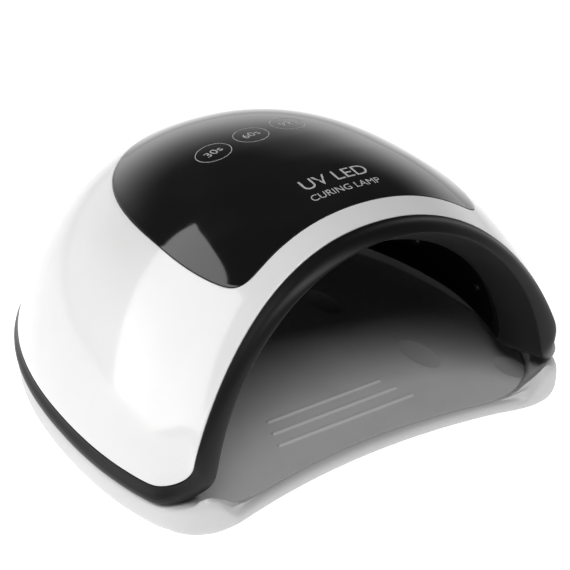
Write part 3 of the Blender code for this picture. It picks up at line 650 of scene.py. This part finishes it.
for dish_x, behind, half_x, half_y in DISHES:
    for side in (-1, 1):
        combine(plate, dish_cutter(side * dish_x, FRONT_TIPS + behind, half_x, half_y), 'DIFFERENCE')
for row, half_length in enumerate(RIB_HALF_LENGTHS):
    combine(plate, rib_bar(half_length, FRONT_TIPS + RIB_REAR - RIB_PITCH * row), 'UNION')
settle(plate, "tray", ["floor_plate"], FLOOR_GREY, degrees=24)
modify(plate, 'WEIGHTED_NORMAL', weight=80, keep_sharp=True)

# %% [markdown]
# ## Lights, sensors and fixings
# Small round parts only need more facets. Each is refined from its own engineering piece, so
# that it stays exactly where it belongs.

# %% Small parts
FAMILIES = (          # start of the names, body, material slot, finish, crease, levels
    ("led_bead_", "head", "lens_clear", SHADE_DARKENED_LENS, 70, 2),
    ("hand_sensor_", "head", "lens_clear", SHADE_DARKENED_LENS, 70, 2),
    ("foot_pad_", "tray", "rubber", RUBBER, 60, 2),
    ("tray_magnet_", "tray", "plated_steel", STEEL, 60, 1),
    ("head_magnet_", "head", "plated_steel", STEEL, 60, 1),
    ("case_screw_", "head", "plated_steel", STEEL, 60, 1),
    ("touch_spring_", "head", "plated_steel", STEEL, 60, 1),
    ("dc_jack", "head", "frame_black", FRAME_BLACK, 60, 2),
    ("digit_display", "head", "frame_black", FRAME_BLACK, 30, 1),
    ("control_board", "head", "board_green", BOARD_GREEN, 30, 1),
)

for prefix, body, slot, finish, crease, levels in FAMILIES:
    for node in sorted(frame["nodes"]):
        if node.startswith(prefix):
            settle(refine(node, "fine_" + node, crease, levels), body, [node], finish)

# %% [markdown]
# ## The print on the panel
# Three ringed times and two plain lines of words are printed on the panel in light grey ink.
# Each is a thin flat mesh laid over the panel and shrunk onto it, as a pad print is, with the
# ink a few hundredths of a millimetre thick. The words only say what the lamp is.

# %% Laying print on the panel
INK = 0.00004
PRINT_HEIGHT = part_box("control_panel")[1].z + 0.002


def lay_on_panel(item, name):
    """Drop a flat piece straight down onto the panel."""
    item.name = name
    modify(item, 'SHRINKWRAP', target=panel, wrap_method='PROJECT', use_project_z=True,
           use_negative_direction=True, use_positive_direction=False, offset=INK)
    return settle(item, "head", [], PRINT)


# %% [markdown]
# ## Rings, numbers and words
# A ring is a disc whose rim is inset by the line's width and whose middle is deleted. Words are
# a text object turned into a mesh, which keeps the curves of the letters. The keys lie in a row
# that is turned a little, to face the user's hand.

# %% Rings, numbers and words
RING_RADIUS = 0.0079
RING_LINE = 0.00034
KEY_TIMES = (30, 60, 99)
KEY_CENTRE = Vector((-0.0057, -0.0112, 0.0))
KEY_PITCH = 0.0204
KEY_TURN = math.radians(7)
TIME_SIZE = 0.0062
WORDS = (("UV LED", 0.0020, -0.0625, 0.0098), ("CURING LAMP", 0.0018, -0.0712, 0.0052))


def print_ring(name, place):
    bpy.ops.object.select_all(action='DESELECT')
    bpy.ops.mesh.primitive_circle_add(vertices=128, radius=RING_RADIUS, fill_type='NGON',
                                      location=(place.x, place.y, PRINT_HEIGHT))
    bpy.ops.object.transform_apply(location=True, rotation=True, scale=True)
    ring = bpy.context.active_object
    edit(ring)
    bpy.ops.mesh.select_all(action='SELECT')
    bpy.ops.mesh.inset(thickness=RING_LINE, use_boundary=True)
    bpy.ops.mesh.delete(type='FACE')
    done()
    return lay_on_panel(ring, name)


def print_words(name, words, place, size, turn):
    bpy.ops.object.select_all(action='DESELECT')
    bpy.ops.object.text_add(location=(place.x, place.y, PRINT_HEIGHT), rotation=(0, 0, turn))
    text = bpy.context.active_object
    text.data.body = words
    text.data.size = size
    text.data.align_x = 'CENTER'
    text.data.align_y = 'CENTER'
    text.data.resolution_u = 6
    bpy.ops.object.convert(target='MESH')
    bpy.ops.object.transform_apply(location=True, rotation=True, scale=True)
    return lay_on_panel(bpy.context.active_object, name)


along_keys = Vector((math.cos(KEY_TURN), math.sin(KEY_TURN), 0.0))
for index, seconds in enumerate(KEY_TIMES):
    place = KEY_CENTRE + along_keys * (index - 1) * KEY_PITCH
    print_ring("key_ring_%d" % (index + 1), place)
    print_words("key_time_%d" % (index + 1), "%ds" % seconds, place, TIME_SIZE, KEY_TURN)
for index, (words, x, y, size) in enumerate(WORDS):
    print_words("printed_words_%d" % (index + 1), words, Vector((x, y, 0)), size, 0.0)

# %% [markdown]
# ## The floor and the room
# A white product on a white floor is drawn by what is dark around it. The room is bright only
# low down and behind the lamp, so the panel stays black and fades to grey towards the far
# edge. The floor gives off a little light of its own, which keeps it evenly white without a
# lamp above it that would show in the panel.

# %% The floor and the room
FLOOR_SIZE = 6.0
FLOOR_GLOW = 0.62
BRIGHT_BELOW = 0.06           # the room is brightest in directions that rise less than this
DARK_ABOVE = 0.52             # and darkest in those that rise more than this
DARK = 0.05
FRONT_AT = -0.5               # directions with less Y than this are in front of the lamp
BEHIND_AT = 0.3               # and those with more Y than this are behind it
FRONT_SHARE = 0.45            # brightness in front, as a share of that behind


def make_floor():
    bpy.ops.object.select_all(action='DESELECT')
    bpy.ops.mesh.primitive_plane_add(size=FLOOR_SIZE, location=(0, 0, 0))
    floor = bpy.context.active_object
    floor.name = "studio_floor"
    finish = Finish("studio_floor", Roughness=0.9, Emission_Strength=FLOOR_GLOW)
    finish.set("Emission Color", grey(1.0))
    finish.tint(finish.noise(scale=3, detail=2), grey(0.90), grey(0.92))
    floor.data.materials.append(finish.material)


def make_room():
    """A backdrop that is bright near the horizon, most of all behind the lamp, and dark above."""
    world = bpy.data.worlds.new("studio")
    bpy.context.scene.world = world
    world.use_nodes = True
    tree = world.node_tree
    direction = add_node(tree, 'ShaderNodeTexCoord', {}, {}, "Generated")
    rise = add_node(tree, 'ShaderNodeSeparateXYZ', {}, {0: direction}, "Z")
    depth = add_node(tree, 'ShaderNodeSeparateXYZ', {}, {0: direction}, "Y")
    near_floor = map_range(tree, rise, BRIGHT_BELOW, DARK_ABOVE, 1.0, DARK,
                           interpolation_type='SMOOTHSTEP')
    behind_lamp = map_range(tree, depth, FRONT_AT, BEHIND_AT, FRONT_SHARE, 1.0,
                            interpolation_type='SMOOTHSTEP')
    background = tree.nodes["Background"]
    tree.links.new((near_floor * behind_lamp).socket, background.inputs["Strength"])
    background.inputs["Color"].default_value = grey(1.0)


make_floor()
make_room()
print("floor and room made")

# %% [markdown]
# ## The soft boxes
# Gloss black shows only what it reflects, so a light is placed by its edges: its corner and two
# sides say where its reflection begins and ends. One large soft box on the left gives the panel
# its clear-cut reflection, and one in front, beside the camera, lights the hand plate.

# %% The soft boxes
LAMP_MIDDLE = Vector((-0.06, -0.06, 0.10))


def soft_box(name, corner, along, down, brightness):
    """A rectangular light from its corner and two edges; brightness is its radiance."""
    down = down - along * down.dot(along) / along.dot(along)
    middle = corner + (along + down) / 2
    away = along.cross(down).normalized()
    if away.dot(middle) < 0:
        along, away = -along, -away
    data = bpy.data.lights.new(name, 'AREA')
    data.shape = 'RECTANGLE'
    data.size = along.length
    data.size_y = down.length
    data.energy = brightness * math.pi * along.length * down.length
    light = bpy.data.objects.new(name, data)
    bpy.context.scene.collection.objects.link(light)
    turn = Matrix((along.normalized(), down.normalized(), away)).transposed()
    light.matrix_world = Matrix.Translation(middle) @ turn.to_4x4()
    print(name, round(data.size, 2), "by", round(data.size_y, 2), "m")


soft_box("left_box", corner=LAMP_MIDDLE + Vector((-0.268, 0.787, 0.750)),
         along=Vector((-0.60, -0.68, 0.52)), down=Vector((-0.50, 0.21, -1.30)), brightness=2.3)
soft_box("front_box", corner=Vector((-0.75, -1.00, 1.15)),
         along=Vector((1.10, -0.25, 0.0)), down=Vector((0.10, 0.50, 0.35)), brightness=7.0)
bpy.context.scene.view_settings.view_transform = 'Standard'

# %% [markdown]
# ## The camera
# The camera looks down at the lamp from its front left corner, from three quarters of a metre,
# through a long lens that keeps the dome's proportions calm.

# %% Camera
AZIMUTH = math.radians(-33.34)
ELEVATION = math.radians(30.23)
DISTANCE = 0.7434
TARGET = Vector((-0.0046, -0.0360, 0.0543))
LENS_LENGTH = 107.98          # millimetres, as the sensor's width
SENSOR_WIDTH = 36.0
NEAREST = 0.05

back = Vector((math.sin(AZIMUTH) * math.cos(ELEVATION),
               -math.cos(AZIMUTH) * math.cos(ELEVATION),
               math.sin(ELEVATION)))
view = bpy.data.objects.new("camera", bpy.data.cameras.new("camera"))
bpy.context.scene.collection.objects.link(view)
view.location = TARGET + back * DISTANCE
view.rotation_euler = back.to_track_quat('Z', 'Y').to_euler()
view.data.lens = LENS_LENGTH
view.data.sensor_width = SENSOR_WIDTH
view.data.clip_start = NEAREST
bpy.context.scene.camera = view
print("camera at", [round(c, 3) for c in view.location])
